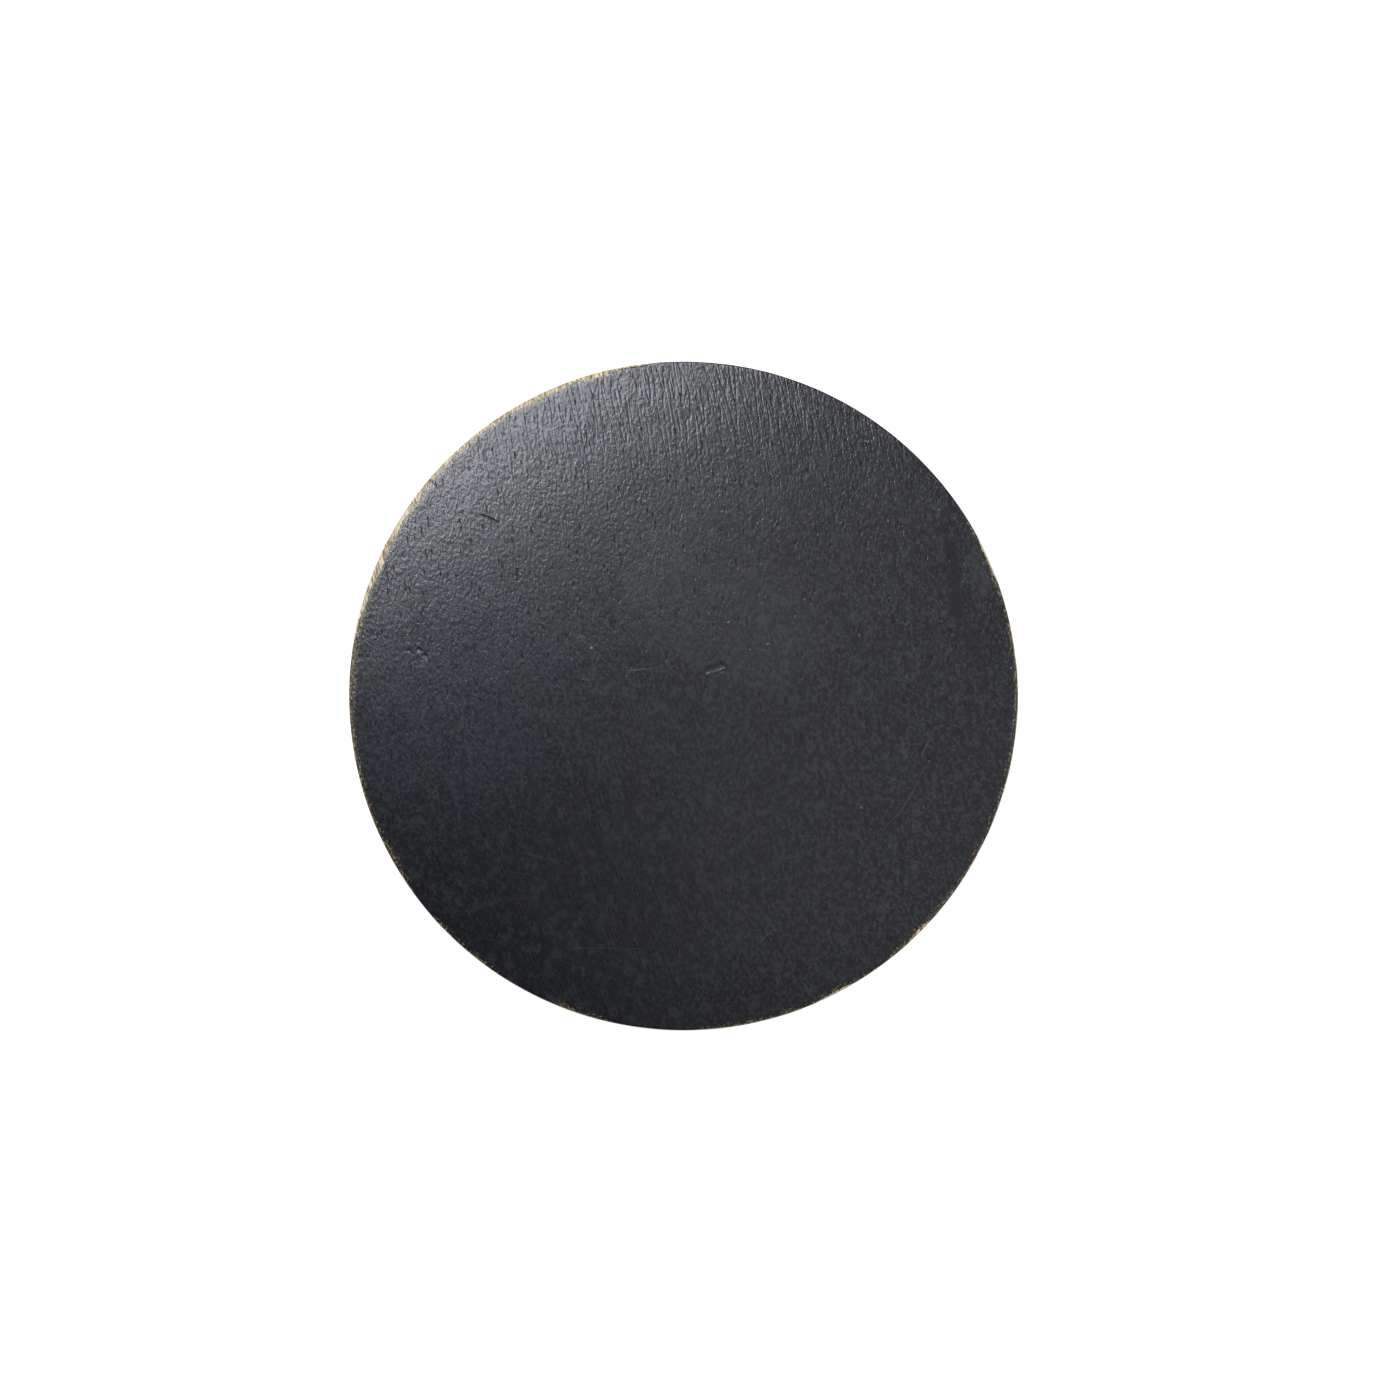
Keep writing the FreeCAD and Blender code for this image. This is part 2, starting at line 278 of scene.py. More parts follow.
def disc_grid(cells):
    """A square grid squeezed into the unit disc, and its boundary's indices by azimuth."""
    steps = np.linspace(-1, 1, cells + 1)
    x, y = (side.ravel() for side in np.meshgrid(steps, steps, indexing="ij"))
    flat = np.abs(x) > np.abs(y)
    reach = np.where(flat, x, y)
    other = np.where(flat, y, x)
    safe = np.where(reach == 0, 1, reach)
    turn = math.pi / 4 * other / safe
    angle = np.where(flat, turn, math.pi / 2 - turn)
    points = np.stack([reach * np.cos(angle), reach * np.sin(angle)], axis=1)
    half_cell = 0.5 / cells
    edge = np.flatnonzero(np.maximum(np.abs(x), np.abs(y)) > 1 - half_cell)
    azimuth = np.arctan2(points[edge, 1], points[edge, 0]) % (2 * math.pi)
    whole = np.round(azimuth / (2 * math.pi) * 4 * cells).astype(int) % (4 * cells)
    boundary = edge[np.argsort(whole)]
    index = np.arange((cells + 1) ** 2).reshape(cells + 1, cells + 1)
    corners = (index[:-1, :-1], index[1:, :-1], index[1:, 1:], index[:-1, 1:])
    quads = np.stack([corner.ravel() for corner in corners], axis=1)
    return points, quads, boundary


def rim_rings():
    """The outline below the face: radius, level, outward slope and way run, ring by ring."""
    rings = []
    run = 0.0

    def arc(centre_radius, level, size, first, last, count):
        nonlocal run
        for angle in np.linspace(first, last, count + 1)[1:]:
            run += size * (last - first) / count
            radial, up = math.sin(angle), math.cos(angle)
            rings.append((centre_radius + size * radial, level + size * up, radial, up, run))

    def line(radius, level, radial, up, count):
        nonlocal run
        old_radius, old_level = rings[-1][:2]
        length = math.hypot(radius - old_radius, level - old_level)
        for share in np.linspace(0, 1, count + 1)[1:]:
            run += length / count
            place = (old_radius + (radius - old_radius) * share, old_level + (level - old_level) * share)
            rings.append((*place, radial, up, run))

    foot_level = UNDERSIDE + BOTTOM_ROUND
    seat_lip = 0.05
    arc(RADIUS - TOP_ROUND, ROUND_LEVEL, TOP_ROUND, ROUND_START, math.pi / 2, count=8)
    line(RADIUS, foot_level, radial=1, up=0, count=16)
    arc(RADIUS - BOTTOM_ROUND, foot_level, BOTTOM_ROUND, math.pi / 2, math.pi, count=6)
    line(SEAT_RADIUS + seat_lip, UNDERSIDE, radial=0, up=-1, count=3)
    return np.array(rings)


def wear(points, run, patches, seed):
    """How far, in millimetres, each point lies inside a zone of wear; negative outside it."""
    azimuth = np.degrees(np.arctan2(points[:, 1], points[:, 0]))
    reach = reach_at(azimuth, patches)
    inside = RADIUS - np.hypot(points[:, 0], points[:, 1])
    on_face = reach * (1 + 0.2 * noise(points, 2.5, seed)) - inside

    corner_run = TOP_ROUND * (math.pi / 2 - ROUND_START)
    below = run - corner_run
    side_reach = 0.35 + 1.3 * reach + 0.6 * noise(points, 3.2, seed + 1)
    upper = np.where(below > 0, np.minimum(side_reach - below, reach), on_face)

    side_run = ROUND_LEVEL - UNDERSIDE - BOTTOM_ROUND
    foot_middle = corner_run + side_run + BOTTOM_ROUND * math.pi / 4
    foot_reach = 0.25 + 0.5 * noise(points, 6.0, seed + 2) + 0.35 * noise(points, 1.8, seed + 3)
    foot = foot_reach - np.abs(run - foot_middle)
    return np.clip(np.maximum(upper, foot), -2, 2)


def relief(points, bare):
    """How far the surface lies inside the CAD outline, as a negative height."""
    grain = along_grain(points)
    plane = points[:, :2]
    on_top = points[:, 2] > ROUND_LEVEL

    waves = 0.022 * noise(points, 12, 1) + 0.010 * noise(points, 4.5, 2) + 0.006 * noise(points, 1.4, 3)
    ribs = 0.006 * noise(grain, (0.8, 4.0, 0.8), 4)
    worn = smooth_step(-0.1, 0.25, bare)
    paint_lost = PAINT * worn * np.where(on_top, 1, 0.4)
    raised_grain = 0.015 * worn * noise(grain, (0.4, 2.5, 0.4), 5)
    height = waves + ribs + raised_grain - SKIN - paint_lost

    for start, end, width, depth in DENTS:
        near = distance_to(plane, start, end) / width
        height -= np.where(on_top, depth * np.clip(1 - near**2, 0, 1), 0)
    height -= np.where(on_top, planed_flat(plane), 0)
    height -= ROLL_DEPTH * smooth_step(ROLL_START, RADIUS, np.hypot(*plane.T))
    return np.minimum(height, -CLOSEST)


def planed_flat(plane):
    """How much the planed flat takes off at each point of the plane."""
    run = np.subtract(FLAT_END, FLAT_START)
    ahead = run / np.hypot(*run)
    away = np.array([-ahead[1], ahead[0]])
    beyond = np.clip((plane - FLAT_START) @ away, 0, 4)
    fades_in = smooth_step(-3, 1, (plane - FLAT_START) @ ahead)
    return FLAT_SLOPE * beyond * fades_in


def outer_surface():
    """Points, outward slopes, way run, quads and the last ring's indices of all that shows."""
    unit, quads, boundary = disc_grid(GRID)
    plan = unit * FACE_RADIUS
    face = np.column_stack([plan, face_height(np.hypot(*plan.T))])
    rings = rim_rings()
    angles = np.arange(AROUND) * 2 * math.pi / AROUND
    around = np.stack([np.cos(angles), np.sin(angles)], axis=1)
    points, slopes, runs = [face], [dome_slope(face)], [np.full(len(face), -1.0)]
    for radius, level, radial, up, run in rings:
        points.append(np.column_stack([around * radius, np.full(AROUND, level)]))
        slopes.append(np.column_stack([around * radial, np.full(AROUND, up)]))
        runs.append(np.full(AROUND, run))
    loops = [boundary]
    loops += [len(face) + AROUND * ring + np.arange(AROUND) for ring in range(len(rings))]
    faces = [quads]
    for upper, lower in zip(loops, loops[1:]):
        faces.append(np.stack([upper, lower, np.roll(lower, -1), np.roll(upper, -1)], axis=1))
    slopes[-1] *= 0  # the last ring stays where the seat begins
    return *map(np.concatenate, (points, slopes, runs, faces)), loops[-1]


def dome_slope(points):
    """Outward directions on the dome."""
    return (points - (0, 0, DOME_CENTRE)) / DOME_RADIUS


def refine_dents(mesh):
    """Cuts the face's cells finer around the dents."""
    places = np.array([v.co.xy for v in mesh.verts]) / MM
    margin = 0.35
    near = np.zeros(len(places), bool)
    for start, end, width, _ in DENTS:
        near |= distance_to(places, start, end) < width + margin
    mesh.verts.ensure_lookup_table()
    chosen = {mesh.verts[index] for index in np.flatnonzero(near)}
    top = ROUND_LEVEL * MM
    edges = [e for e in mesh.edges if all(v in chosen and v.co.z > top for v in e.verts)]
    bmesh.ops.subdivide_edges(mesh, edges=edges, cuts=3, use_grid_fill=True)


def displace(mesh, slopes, runs):
    """Moves the points by the relief and stores the wear in the mesh's own layers."""
    points = np.array([v.co for v in mesh.verts]) / MM
    added = points[len(slopes):]
    slopes = np.concatenate([slopes, dome_slope(added)])
    runs = np.concatenate([runs, np.full(len(added), -1.0)])
    bare = wear(points, runs, BARE, 11)
    rubbed = wear(points, runs, RUBBED, 31)
    moved = (points + slopes * relief(points, bare)[:, None]) * MM
    bare_layer = mesh.verts.layers.float["bare"]
    rubbed_layer = mesh.verts.layers.float["rubbed"]
    for vertex, place, worn, thin in zip(mesh.verts, moved, bare, rubbed):
        vertex.co = place
        vertex[bare_layer] = worn
        vertex[rubbed_layer] = thin


def add_hollow(mesh, last):
    """Takes the seat, recess and pilot holes from the CAD node and joins them to the outside."""
    mesh.verts.ensure_lookup_table()
    last_loop = [mesh.verts[index] for index in last]
    cad = bmesh.new()
    cad.from_mesh(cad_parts["wooden_body"].data)
    bmesh.ops.remove_doubles(cad, verts=cad.verts, dist=1e-7)
    widest = (SEAT_RADIUS + 0.01) * MM
    highest = (face_height(SEAT_RADIUS) - 0.3) * MM
    for face in list(cad.faces):
        middle = face.calc_center_median()
        if middle.xy.length > widest or middle.z > highest:
            cad.faces.remove(face)
    for vertex in [v for v in cad.verts if not v.link_faces]:
        cad.verts.remove(vertex)
    copies = {v: mesh.verts.new(v.co) for v in cad.verts}
    for copy in copies.values():
        for layer in WEAR_LAYERS:
            copy[mesh.verts.layers.float[layer]] = 1.0  # the hollow was never painted
    for face in cad.faces:
        mesh.faces.new([copies[v] for v in face.verts])
    mouth = [[copies[v] for v in e.verts] for e in cad.edges if e.is_boundary]
    cad.free()
    mouth_edges = [mesh.edges.get(pair) for pair in mouth]
    following = last_loop[1:] + last_loop[:1]
    last_edges = [mesh.edges.get(pair) for pair in zip(last_loop, following)]
    bmesh.ops.bridge_loops(mesh, edges=mouth_edges + last_edges)


def make_piece(name, mesh, slot, *nodes):
    """An object of the scene that stands for CAD nodes and rides on the one body."""
    data = bpy.data.meshes.new(name)
    mesh.to_mesh(data)
    mesh.free()
    piece = bpy.data.objects.new(name, data)
    bpy.context.scene.collection.objects.link(piece)
    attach(piece, "root")
    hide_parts(*nodes)
    return piece


def make_painted_disc():
    """The wooden disc with its dents, waves, worn corners and hollow underside."""
    points, slopes, runs, faces, last = outer_surface()
    mesh = bmesh.new()
    for layer in WEAR_LAYERS:
        mesh.verts.layers.float.new(layer)
    corners = [mesh.verts.new(point) for point in points * MM]
    for face in faces:
        mesh.faces.new([corners[index] for index in face])
    refine_dents(mesh)
    displace(mesh, slopes, runs)
    add_hollow(mesh, last)
    bmesh.ops.recalc_face_normals(mesh, faces=mesh.faces)
    flat_below = UNDERSIDE * 1.2 * MM
    for face in mesh.faces:
        face.smooth = face.calc_center_median().z > flat_below or len(face.verts) == 4
    return make_piece("painted_disc", mesh, "black_painted_wood", "wooden_body")


# ---------------------------------------------------------------- the felt


def felt_surface(plan, level, outward, seed):
    """A layer of felt: lumpy where its fibres are matted, level where it touches something."""
    points = np.column_stack([plan, np.full(len(plan), level)])
    fuzz = 0.05 * noise(points, 1.1, seed) + 0.03 * noise(points, 0.45, seed + 1)
    waves = 0.03 * noise(points, 7.0, seed + 2)
    points[:, 2] += outward * np.minimum(0, fuzz + waves - 0.08)
    return points


def felt_edge(around):
    """The felt's cut edge, ring by ring from its lower face up: softened below, frayed all over."""
    angles = np.arange(around) * 2 * math.pi / around
    direction = np.stack([np.cos(angles), np.sin(angles)], axis=1)
    inner = FELT_RADIUS - FELT_ROUND
    profile = [
        (inner + FELT_ROUND * math.sin(turn), FELT_ROUND * (1 - math.cos(turn)))
        for turn in np.linspace(0, math.pi / 2, 6)[1:]
    ]
    profile += [(FELT_RADIUS, level) for level in np.linspace(FELT_ROUND, FELT_TOP, 6)[1:]]
    rings = []
    for radius, level in profile:
        ring = np.column_stack([direction * radius, np.full(around, level)])
        frayed = 0.04 + 0.03 * noise(ring, 0.5, 71) + 0.03 * noise(ring, 1.6, 72)
        ring[:, :2] -= direction * np.maximum(frayed, 0)[:, None]
        rings.append(ring)
    return rings


def make_felt():
    """The felt disc: two matted faces and a softened, slightly uneven cut edge."""
    unit, quads, boundary = disc_grid(FELT_GRID)
    plan = unit * (FELT_RADIUS - FELT_ROUND)
    around = 4 * FELT_GRID
    rings = felt_edge(around)
    points = [felt_surface(plan, 0, -1, 51), *rings, felt_surface(plan, FELT_TOP, 1, 61)]
    upper_start = len(plan) + around * len(rings)
    loops = [boundary]
    loops += [len(plan) + around * ring + np.arange(around) for ring in range(len(rings))]
    loops.append(upper_start + boundary)
    faces = [quads[:, ::-1], quads + upper_start]
    for first, second in zip(loops, loops[1:]):
        faces.append(np.stack([first, np.roll(first, -1), np.roll(second, -1), second], axis=1))
    mesh = bmesh.new()
    corners = [mesh.verts.new(point) for point in np.concatenate(points) * MM]
    for face in np.concatenate(faces):
        mesh.faces.new([corners[index] for index in face]).smooth = True
    bmesh.ops.recalc_face_normals(mesh, faces=mesh.faces)
    felt = make_piece("felt_pad", mesh, "green_felt", "felt_base")
    return felt


# ---------------------------------------------------------------- materials


class Nodes:
    """A material's node tree, with short calls for the nodes that the materials share."""

    def __init__(self, name):
        self.material = bpy.data.materials.new(name)
        self.material.use_nodes = True
        self.tree = self.material.node_tree
        self.shader = self.tree.nodes["Principled BSDF"]
        self.place = self.add("ShaderNodeTexCoord").outputs["Object"]

    def add(self, kind, **settings):
        node = self.tree.nodes.new(kind)
        for key, value in settings.items():
            setattr(node, key, value)
        return node

    def feed(self, socket, value):
        """Links an output to a socket, or sets the socket to a plain value."""
        if isinstance(value, bpy.types.NodeSocket):
            self.tree.links.new(value, socket)
        else:
            socket.default_value = value

    def set(self, name, value):
        self.feed(self.shader.inputs[name], value)

    def math(self, operation, *values):
        """A sum, product or other function of plain numbers."""
        node = self.add("ShaderNodeMath", operation=operation)
        for socket, value in zip(node.inputs, values):
            self.feed(socket, value)
        return node.outputs[0]

    def vector(self, operation, *values):
        """The same for vectors, whose distances and dot products are plain numbers."""
        node = self.add("ShaderNodeVectorMath", operation=operation)
        for socket, value in zip(node.inputs, values):
            self.feed(socket, value)
        return node.outputs["Value" if operation in ("DISTANCE", "DOT_PRODUCT") else "Vector"]

    def times(self, first, second):
        """The product of two plain numbers."""
        return self.math("MULTIPLY", first, second)

    def parts(self, vector):
        """The three parts of a vector."""
        node = self.add("ShaderNodeSeparateXYZ")
        self.feed(node.inputs[0], vector)
        return node.outputs

    def grid(self, size, turn=0.0, place=None):
        """Coordinates turned about +Z, then measured in cells of the given size in millimetres."""
        turned = self.add("ShaderNodeVectorRotate", rotation_type="Z_AXIS")
        self.feed(turned.inputs["Vector"], place or self.place)
        self.feed(turned.inputs["Angle"], -turn)
        return self.vector("MULTIPLY", turned.outputs[0], [1 / (step * MM) for step in size])

    def polar(self):
        """Coordinates in metres out from the axis, along the circumference and up."""
        x, y, z = self.parts(self.place)
        out = self.math("SQRT", self.math("MULTIPLY_ADD", x, x, self.times(y, y)))
        run = self.times(self.math("ARCTAN2", y, x), RADIUS * MM)
        joined = self.add("ShaderNodeCombineXYZ")
        for socket, value in zip(joined.inputs, (out, run, z)):
            self.feed(socket, value)
        return joined.outputs[0]

    def noise(self, size, turn=0.0, detail=2.0, rough=0.5, place=None):
        """Noise from 0 to 1 with lumps of about the given size."""
        node = self.add("ShaderNodeTexNoise")
        self.feed(node.inputs["Vector"], self.grid(size, turn, place))
        self.feed(node.inputs["Scale"], 1.0)
        self.feed(node.inputs["Detail"], detail)
        self.feed(node.inputs["Roughness"], rough)
        return node.outputs["Fac"]

    def range(self, value, low, high, to_low=0.0, to_high=1.0, smooth=True):
        """Maps low..high to to_low..to_high and holds the ends."""
        node = self.add("ShaderNodeMapRange")
        node.interpolation_type = "SMOOTHSTEP" if smooth else "LINEAR"
        names = ("Value", "From Min", "From Max", "To Min", "To Max")
        for name, number in zip(names, (value, low, high, to_low, to_high)):
            self.feed(node.inputs[name], number)
        return node.outputs["Result"]

    def mix(self, share, first, second, kind="RGBA"):
        """A colour or vector between two others."""
        node = self.add("ShaderNodeMix", data_type=kind)
        suffix = {"RGBA": "Color", "VECTOR": "Vector"}[kind]
        sockets = {socket.identifier: socket for socket in node.inputs}
        self.feed(sockets["Factor_Float"], share)
        self.feed(sockets["A_" + suffix], first)
        self.feed(sockets["B_" + suffix], second)
        return next(s for s in node.outputs if s.identifier == "Result_" + suffix)

    def bump(self, height, depth):
        """A bumped normal: height from 0 to 1 stands for a depth in millimetres."""
        node = self.add("ShaderNodeBump")
        self.feed(node.inputs["Strength"], 1.0)
        self.feed(node.inputs["Distance"], depth * MM)
        self.feed(node.inputs["Height"], height)
        return node.outputs["Normal"]

    def flecks(self, size, turn, present, seed):
        """1 in the middle of short streaks of about the given size, 0 between them.

        Present is the share of the cells that hold a streak.
        """
        spots = self.add("ShaderNodeTexVoronoi", feature="F1")
        self.feed(spots.inputs["Vector"], self.vector("ADD", self.grid(size, turn), (seed,) * 3))
        self.feed(spots.inputs["Scale"], 1.0)
        shape = self.range(spots.outputs["Distance"], 0.12, 0.42, 1.0, 0.0)
        pick = self.add("ShaderNodeSeparateColor")
        self.feed(pick.inputs[0], spots.outputs["Color"])
        absent = 1 - present
        chosen = self.range(pick.outputs[0], absent, absent + 0.1)
        return self.times(shape, chosen)

    def layer(self, name):
        """A value that is stored in the mesh."""
        return self.add("ShaderNodeAttribute", attribute_name=name).outputs["Fac"]


def colour(red, green, blue):
    return (red, green, blue, 1.0)


# the paint, from where it lies deep, a colour that also serves as painted shade, to where it is
# scratched
DEEPEST_AND_PAINTED_SHADE = colour(0.001, 0.001, 0.0015)
DEEP = colour(0.002, 0.002, 0.003)
BLACK = colour(0.0046, 0.0049, 0.0062)
BLUE_BLACK = colour(0.0038, 0.0053, 0.0085)
BLUE_BLOOM = colour(0.0080, 0.0140, 0.0240)
MOTTLE = colour(0.0245, 0.0258, 0.0295)
CLOUD = colour(0.026, 0.0272, 0.0305)
SPECKLE = colour(0.052, 0.0540, 0.0610)
DUST = colour(0.16, 0.16, 0.17)
# the pale colour of the scratches, also used for the faint patches of painted light
SCRATCH_AND_PAINTED_LIGHT = colour(0.30, 0.31, 0.33)

# the paint rubbed thin over wood
BROWN_HAZE = colour(0.045, 0.036, 0.020)
DARK_BRONZE = colour(0.06, 0.045, 0.02)
BRONZE = colour(0.34, 0.265, 0.13)

BRUSH_LEAN = math.radians(22)  # of the brush strokes
BLOOM_MIDDLE = (-26 * MM, 3 * MM, CROWN * MM)  # of the bluish patch at the left


def creases(n, size, turn, width):
    """Creases in a skin of paint: 1 along each crease, 0 at the given share of a lump beside it."""
    folds = n.noise(size, turn, detail=0.5)
    away = n.math("ABSOLUTE", n.math("SUBTRACT", folds, 0.5))
    return n.range(away, 0.0, width, 1.0, 0.0)


def marked(n, marks):
    """The strongest of the given marks at each point, fading from its middle line outwards."""
    flat = n.vector("MULTIPLY", n.place, (1 / MM, 1 / MM, 0))
    total = 0.0
    for start, end, width, strength in marks:
        run = np.subtract(end, start)
        offset = n.vector("SUBTRACT", flat, (*start, 0))
        along = n.vector("DOT_PRODUCT", offset, (*(run / (run @ run)), 0))
        held = n.math("MINIMUM", n.math("MAXIMUM", along, 0.0), 1.0)
        nearest = n.add("ShaderNodeVectorMath", operation="SCALE")
        n.feed(nearest.inputs[0], (*run, 0))
        n.feed(nearest.inputs["Scale"], held)
        away = n.vector("DISTANCE", offset, nearest.outputs[0])
        total = n.math("MAXIMUM", n.range(away, width * 0.4, width, strength, 0.0), total)
    return total


def paint_height(n):
    """Height of the paint: pebbled, creased along the grain, brushed and pored; its pores and dips."""
    x, y, _ = n.parts(n.place)
    upper = n.range(y, -14 * MM, 12 * MM)
    top = n.range(y, 20 * MM, 31 * MM)
    right = n.range(x, 4 * MM, 26 * MM, 1.0, 1.5)

    pebbles = n.noise((0.27, 0.50, 0.4), GRAIN_LEAN, detail=1.0)
    height = n.times(pebbles, n.range(upper, 0.0, 1.0, 0.27, 0.62))
    folds = creases(n, (0.45, 0.95, 0.6), GRAIN_LEAN, width=0.10)
    broken = n.range(n.noise((1.0, 1.4, 1.0), GRAIN_LEAN, detail=1.0), 0.42, 0.58)
    dips = n.times(folds, broken)
    height = n.math("MULTIPLY_ADD", dips, n.range(upper, 0.0, 1.0, -0.03, -0.10), height)
    height = n.times(height, right)

    ridges = creases(n, (0.60, 5.0, 1.0), GRAIN_LEAN, width=0.12)
    height = n.math("MULTIPLY_ADD", ridges, n.times(top, -0.32), height)

    brushed = n.noise((0.28, 8.0, 0.4), BRUSH_LEAN, detail=1.0)
    strokes = n.range(n.noise((7, 7, 7)), 0.45, 0.60, 0.03, 0.28)
    strokes = n.times(strokes, n.range(upper, 0.0, 1.0, 1.0, 0.0))
    height = n.math("MULTIPLY_ADD", brushed, strokes, height)

    pores = n.flecks((0.27, 1.3, 0.4), GRAIN_LEAN, present=0.16, seed=3.0)
    long_pores = n.flecks((0.30, 2.8, 0.5), GRAIN_LEAN, present=0.08, seed=17.0)
    pores = n.times(n.math("MAXIMUM", pores, long_pores), n.range(upper, 0.0, 1.0, 0.2, 1.0))
    return n.math("SUBTRACT", height, pores), pores, dips


def paint_colour(n, pores, dips):
    """Colour of the paint: black, bluish at the left, clouded, mottled, dusty and scratched, with
    painted shade in its creases and dark strips and faint patches of painted light.
    """
    x, y, _ = n.parts(n.place)
    tint = n.noise((6, 9, 6), GRAIN_LEAN, rough=0.6)
    paint = n.mix(n.range(tint, 0.4, 0.6), BLACK, BLUE_BLACK)
    bloom = n.range(n.vector("DISTANCE", n.place, BLOOM_MIDDLE), 3 * MM, 21 * MM, 1.0, 0.0)
    bloom = n.times(bloom, n.range(tint, 0.35, 0.6, 0.45, 1.0))
    paint = n.mix(bloom, paint, BLUE_BLOOM)

    # the clouds are strongest at the right
    clouds = n.noise((1.2, 1.5, 1.2), GRAIN_LEAN, detail=3.0, rough=0.7)
    light = n.range(clouds, 0.50, 0.66, 0.0, n.range(x, 2 * MM, 24 * MM, 0.6, 1.0))
    dark = n.range(clouds, 0.34, 0.46, n.range(x, 2 * MM, 24 * MM, 0.5, 0.9), 0.0)
    paint = n.mix(light, paint, CLOUD)
    paint = n.mix(dark, paint, DEEP)

    # the finer patterns are faint at the lower left, and the speckles keep to the sides
    lively = n.range(y, -20 * MM, -2 * MM, n.range(x, -12 * MM, 15 * MM, 0.3, 1.0), 1.0)
    outer = n.range(n.math("ABSOLUTE", x), 4 * MM, 28 * MM, 0.15, 0.8)
    speckles = n.range(n.noise((0.32, 0.45, 0.35), 0.6, detail=1.5, rough=0.6), 0.50, 0.68)
    paint = n.mix(n.times(speckles, n.times(outer, lively)), paint, SPECKLE)
    mottle = n.noise((0.40, 0.60, 0.4), GRAIN_LEAN, detail=1.0, rough=0.6)
    strength = n.times(lively, 0.85)
    paint = n.mix(n.range(mottle, 0.48, 0.68, 0.0, strength), paint, MOTTLE)
    paint = n.mix(n.range(mottle, 0.34, 0.47, strength, 0.0), paint, DEEP)

    # painted shade: the paint's creases darkened, more so towards the right
    paint = n.mix(n.times(dips, n.range(x, 4 * MM, 26 * MM, 0.0, 0.8)), paint, DEEPEST_AND_PAINTED_SHADE)
    paint = n.mix(n.times(pores, 0.8), paint, DEEPEST_AND_PAINTED_SHADE)
    dust = n.flecks((0.42, 0.5, 0.42), 0.0, present=0.03, seed=43.0)
    paint = n.mix(n.times(dust, 0.3), paint, DUST)
    # painted shade: the nick's flank and the planed flat's edge darkened in the colour, with the faint
    # dark line
    paint = n.mix(marked(n, DARK_LINES_AND_PAINTED_SHADE), paint, DEEPEST_AND_PAINTED_SHADE)
    # light scratches and specks, and the faint patches of painted light
    return n.mix(n.times(marked(n, MARKS_AND_PAINTED_LIGHT), 0.8), paint, SCRATCH_AND_PAINTED_LIGHT)


def rubbed_thin(n, paint):
    """The paint's colour where it is rubbed thin: a brown haze with bronze flecks along the rim."""
    rubbed = n.layer("rubbed")
    scuffs = n.noise((0.10, 2.2, 0.4), rough=0.7, place=n.polar())
    dots = n.noise((0.22, 0.35, 0.22), GRAIN_LEAN, rough=0.7)
    flecked = n.math("ADD", n.times(scuffs, 1.1), n.times(dots, 0.9))
    thin = n.math("MULTIPLY_ADD", n.math("SUBTRACT", flecked, 1.09), 2.6, rubbed)
    bronze = n.mix(n.range(dots, 0.4, 0.7), DARK_BRONZE, BRONZE)
    paint = n.mix(n.range(rubbed, -0.15, 0.35, 0.0, 0.6), paint, BROWN_HAZE)
    return n.mix(n.range(thin, 0.0, 0.16), paint, bronze)


def bare_wood(n):
    """Colour and height of the bare beech: streaks, dark blotches, pores, and painted shade where it
    faces sideways.
    """
    streaks = n.noise((0.22, 3.0, 0.3), GRAIN_LEAN, detail=3.0, rough=0.65)
    blotches = n.noise((0.9, 1.3, 1.0), GRAIN_LEAN, rough=0.6)
    pores = n.flecks((0.16, 1.0, 0.3), GRAIN_LEAN, present=0.5, seed=31.0)
    wood = n.mix(n.range(streaks, 0.36, 0.62), colour(0.27, 0.17, 0.065), colour(0.88, 0.77, 0.50))
    wood = n.mix(n.range(blotches, 0.56, 0.66, 0.0, 0.8), wood, colour(0.12, 0.065, 0.02))
    wood = n.mix(n.times(pores, 0.6), wood, colour(0.16, 0.09, 0.03))
    # painted shade: the bare wood darkens as its surface turns from facing up towards facing sideways
    _, _, facing_up = n.parts(n.add("ShaderNodeNewGeometry").outputs["Normal"])
    wood = n.mix(n.range(facing_up, 0.25, 0.75, 0.75, 0.0), wood, colour(0.13, 0.08, 0.03))
    return wood, n.math("MULTIPLY_ADD", pores, -0.8, streaks)


def painted_wood():
    """Satin black paint over beech, worn through where the mesh's layers say so."""
    n = Nodes("black_painted_wood")
    paint_relief, pores, dips = paint_height(n)
    paint = rubbed_thin(n, paint_colour(n, pores, dips))
    satin = n.range(n.noise((5, 5, 5), rough=0.6), 0.3, 0.7, 0.282, 0.30)
    wood, wood_relief = bare_wood(n)

    # the paint's broken edge follows the hairs of the wood
    hairs = n.noise((0.12, 0.7, 0.14), GRAIN_LEAN, detail=3.0, rough=0.7)
    edge = n.math("MULTIPLY_ADD", n.math("SUBTRACT", hairs, 0.5), 0.75, n.layer("bare"))
    worn = n.range(edge, -0.03, 0.05)

    n.set("Base Color", n.mix(worn, paint, wood))
    n.set("Roughness", n.range(worn, 0.0, 1.0, satin, 0.62, smooth=False))
    n.set("IOR", 1.55)
    n.set("Normal", n.mix(worn, n.bump(paint_relief, 0.052), n.bump(wood_relief, 0.05), "VECTOR"))
    return n.material


